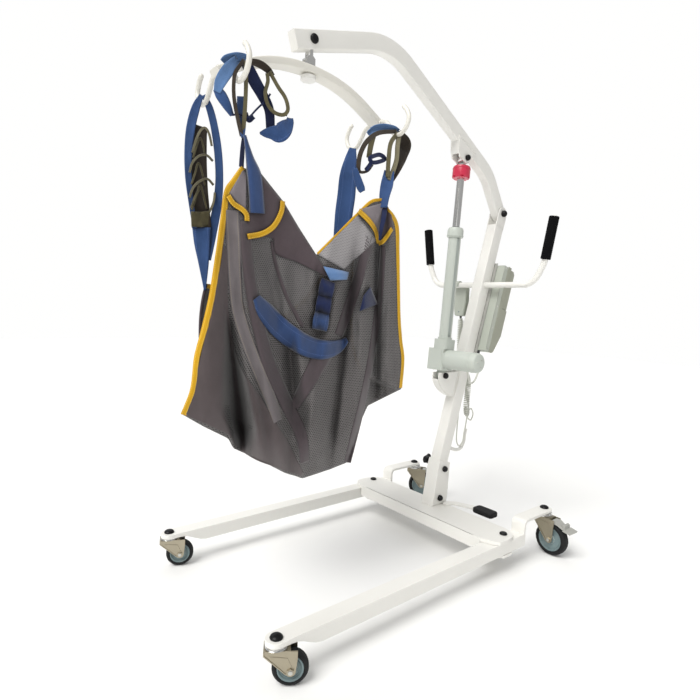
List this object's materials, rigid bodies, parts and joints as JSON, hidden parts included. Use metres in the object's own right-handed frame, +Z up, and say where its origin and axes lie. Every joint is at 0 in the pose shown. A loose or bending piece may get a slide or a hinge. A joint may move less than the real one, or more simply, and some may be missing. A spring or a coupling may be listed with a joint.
{
  "type": "patient lift hoist",
  "caption": "Mobile electric patient hoist: U-shaped wheeled base, leaning mast, actuator-driven lifting boom, spreader bar with hooks and a hanging mesh toileting sling.",
  "frame": {"origin": "on the floor, at the middle of the box round the whole hoist; the hoist's own middle plane is at x = -37.12 mm and its leg pivots are at y = +295.47 mm", "axes": "+Z up, -Y toward the leg tips (front of the hoist), +Y toward the attendant, +X to the attendant's left when they stand behind the mast facing the front"},
  "size_m": [0.7222, 1.233, 1.526],
  "materials": {
    "frame_white": "smooth powder coat, satin",
    "bright_steel": "polished plating",
    "plated_steel": "yellowish zinc plating",
    "black_cap": "moulded, fine grain",
    "grip_foam": "soft grip",
    "pad_rubber": "moulded rubber",
    "actuator_grey": "moulded housing, fine grain",
    "box_grey": "moulded housing, fine grain",
    "disc_teal": "moulded",
    "tread_black": "smooth tread",
    "brake_grey": "moulded",
    "ring_red": "moulded",
    "key_dark": "rubber key",
    "mesh_fabric": "open spacer mesh with bound edges",
    "webbing_blue": "woven webbing",
    "webbing_light": "woven webbing"
  },
  "bodies": {
    "base": {"base_crossbeam": "frame_white", "mast_socket": "frame_white", "mast": "frame_white", "socket_bolt_upper": "black_cap", "socket_bolt_lower": "black_cap", "mast_pivot_bolt": "black_cap", "actuator_foot_pin": "black_cap", "handlebar": "frame_white", "grip_right": "grip_foam", "grip_left": "grip_foam", "mount_plate": "black_cap", "control_box": "box_grey", "handset": "actuator_grey", "cable_hook": "frame_white", "leg_bolt_right": "black_cap", "leg_bolt_left": "black_cap"},
    "boom": {"boom": "frame_white", "hanger_pin": "black_cap", "actuator_top_pin": "black_cap"},
    "hanger": {"hanger_link": "bright_steel", "swivel_bolt": "frame_white"},
    "spreader": {"spreader_bar": "frame_white", "hook_rod_front": "frame_white", "hook_rod_rear": "frame_white", "sling_body": "mesh_fabric", "sling_strap_front_near": "webbing_light", "sling_strap_rear_near": "webbing_light", "sling_strap_front_far": "webbing_blue", "sling_strap_rear_far": "webbing_blue", "sling_handle_upright": "webbing_blue", "sling_handle_band": "webbing_blue"},
    "actuator": {"actuator_gearbox": "actuator_grey", "actuator_motor": "actuator_grey", "actuator_tube": "actuator_grey"},
    "rod": {"actuator_rod": "bright_steel"},
    "ring": {"release_ring": "ring_red"},
    "leg_r": {"leg_right": "frame_white"},
    "leg_l": {"leg_left": "frame_white"},
    "pedal": {"pedal_lever": "frame_white", "pedal_pad": "pad_rubber"},
    "knob": {"mast_lock_knob": "black_cap"},
    "battery": {"battery_pack": "box_grey"},
    "stop_button": {"emergency_stop": "ring_red"},
    "key_up": {"handset_key_up": "key_dark"},
    "key_down": {"handset_key_down": "key_dark"},
    "fork_front_right": {"castor_fork_front_right": "plated_steel"},
    "wheel_front_right": {"castor_disc_front_right": "disc_teal", "castor_tyre_front_right": "tread_black"},
    "fork_front_left": {"castor_fork_front_left": "plated_steel"},
    "wheel_front_left": {"castor_disc_front_left": "disc_teal", "castor_tyre_front_left": "tread_black"},
    "fork_rear_right": {"castor_fork_rear_right": "plated_steel"},
    "wheel_rear_right": {"castor_disc_rear_right": "disc_teal", "castor_tyre_rear_right": "tread_black"},
    "brake_rear_right": {"castor_brake_rear_right": "brake_grey"},
    "fork_rear_left": {"castor_fork_rear_left": "plated_steel"},
    "wheel_rear_left": {"castor_disc_rear_left": "disc_teal", "castor_tyre_rear_left": "tread_black"},
    "brake_rear_left": {"castor_brake_rear_left": "brake_grey"}
  },
  "joints": [
    {"name": "boom_lift", "type": "hinge", "parent": "base", "child": "boom", "pos_m": [-0.03712, 0.57847, 1.124], "axis": [-1, 0, 0], "range_deg": [-24, 16]},
    {"name": "hanger_pitch", "type": "hinge", "parent": "boom", "child": "hanger", "pos_m": [-0.03712, -0.26353, 1.433], "axis": [-1, 0, 0], "range_deg": [-18, 26]},
    {"name": "spreader_swivel", "type": "hinge", "parent": "hanger", "child": "spreader", "pos_m": [-0.03712, -0.26653, 1.359], "axis": [0, 0, 1], "continuous": true},
    {"name": "actuator_swing", "type": "hinge", "parent": "base", "child": "actuator", "pos_m": [-0.03712, 0.31547, 0.552], "axis": [-1, 0, 0], "range_deg": [-5, 4]},
    {"name": "rod_extend", "type": "slide", "parent": "actuator", "child": "rod", "axis": [0, 0.0622, 0.9981], "range_m": [-0.1, 0.07]},
    {"name": "release_ring_turn", "type": "hinge", "parent": "rod", "child": "ring", "pos_m": [-0.03712, 0.35762, 1.22819], "axis": [0, 0.0622, 0.9981], "range_deg": [-30, 30]},
    {"name": "leg_right_spread", "type": "hinge", "parent": "base", "child": "leg_r", "pos_m": [0.25318, 0.29547, 0.08], "axis": [0, 0, 1], "range_deg": [0, 12]},
    {"name": "leg_left_spread", "type": "hinge", "parent": "base", "child": "leg_l", "pos_m": [-0.32742, 0.29547, 0.08], "axis": [0, 0, -1], "range_deg": [0, 12]},
    {"name": "pedal_swing", "type": "hinge", "parent": "base", "child": "pedal", "pos_m": [0.00288, 0.33347, 0.112], "axis": [0, 0, 1], "range_deg": [0, 24]},
    {"name": "mast_knob_turn", "type": "hinge", "parent": "base", "child": "knob", "pos_m": [-0.07712, 0.31347, 0.25], "axis": [1, 0, 0], "continuous": true},
    {"name": "battery_lift", "type": "slide", "parent": "base", "child": "battery", "axis": [0, 0.2759, 0.9612], "range_m": [0, 0.16]},
    {"name": "stop_button_press", "type": "slide", "parent": "base", "child": "stop_button", "axis": [0, -0.9612, 0.2759], "range_m": [0, 0.004]},
    {"name": "key_up_press", "type": "slide", "parent": "base", "child": "key_up", "axis": [0, -1, 0], "range_m": [0, 0.001]},
    {"name": "key_down_press", "type": "slide", "parent": "base", "child": "key_down", "axis": [0, -1, 0], "range_m": [0, 0.001]},
    {"name": "swivel_front_right", "type": "hinge", "parent": "leg_r", "child": "fork_front_right", "pos_m": [0.25648, -0.49653, 0.1], "axis": [0, 0, 1], "continuous": true},
    {"name": "spin_front_right", "type": "hinge", "parent": "fork_front_right", "child": "wheel_front_right", "pos_m": [0.27282, -0.47137, 0.0375], "axis": [0.8387, -0.5446, 0], "continuous": true},
    {"name": "swivel_front_left", "type": "hinge", "parent": "leg_l", "child": "fork_front_left", "pos_m": [-0.33072, -0.49653, 0.1], "axis": [0, 0, 1], "continuous": true},
    {"name": "spin_front_left", "type": "hinge", "parent": "fork_front_left", "child": "wheel_front_left", "pos_m": [-0.31948, -0.46871, 0.0375], "axis": [0.9272, -0.3746, 0], "continuous": true},
    {"name": "swivel_rear_right", "type": "hinge", "parent": "leg_r", "child": "fork_rear_right", "pos_m": [0.25348, 0.52227, 0.1], "axis": [0, 0, 1], "continuous": true},
    {"name": "spin_rear_right", "type": "hinge", "parent": "fork_rear_right", "child": "wheel_rear_right", "pos_m": [0.28746, 0.52108, 0.052], "axis": [-0.0349, -0.9994, 0], "continuous": true},
    {"name": "brake_rear_right", "type": "hinge", "parent": "fork_rear_right", "child": "brake_rear_right", "pos_m": [0.29346, 0.52087, 0.111], "axis": [0.0349, 0.9994, 0], "range_deg": [0, 8]},
    {"name": "swivel_rear_left", "type": "hinge", "parent": "leg_l", "child": "fork_rear_left", "pos_m": [-0.32772, 0.52227, 0.1], "axis": [0, 0, 1], "continuous": true},
    {"name": "spin_rear_left", "type": "hinge", "parent": "fork_rear_left", "child": "wheel_rear_left", "pos_m": [-0.30167, 0.54412, 0.052], "axis": [0.6428, -0.766, 0], "continuous": true},
    {"name": "brake_rear_left", "type": "hinge", "parent": "fork_rear_left", "child": "brake_rear_left", "pos_m": [-0.29708, 0.54798, 0.111], "axis": [-0.6428, 0.766, 0], "range_deg": [0, 8]}
  ],
  "couplings": [
    {"joint": "hanger_pitch", "follows": "boom_lift", "ratio": -1},
    {"joint": "actuator_swing", "follows": "boom_lift", "ratio": 0.1725},
    {"joint": "rod_extend", "follows": "boom_lift", "m_per_rad": 0.2325},
    {"joint": "leg_left_spread", "follows": "leg_right_spread", "ratio": 1},
    {"joint": "pedal_swing", "follows": "leg_right_spread", "ratio": 2}
  ]
}
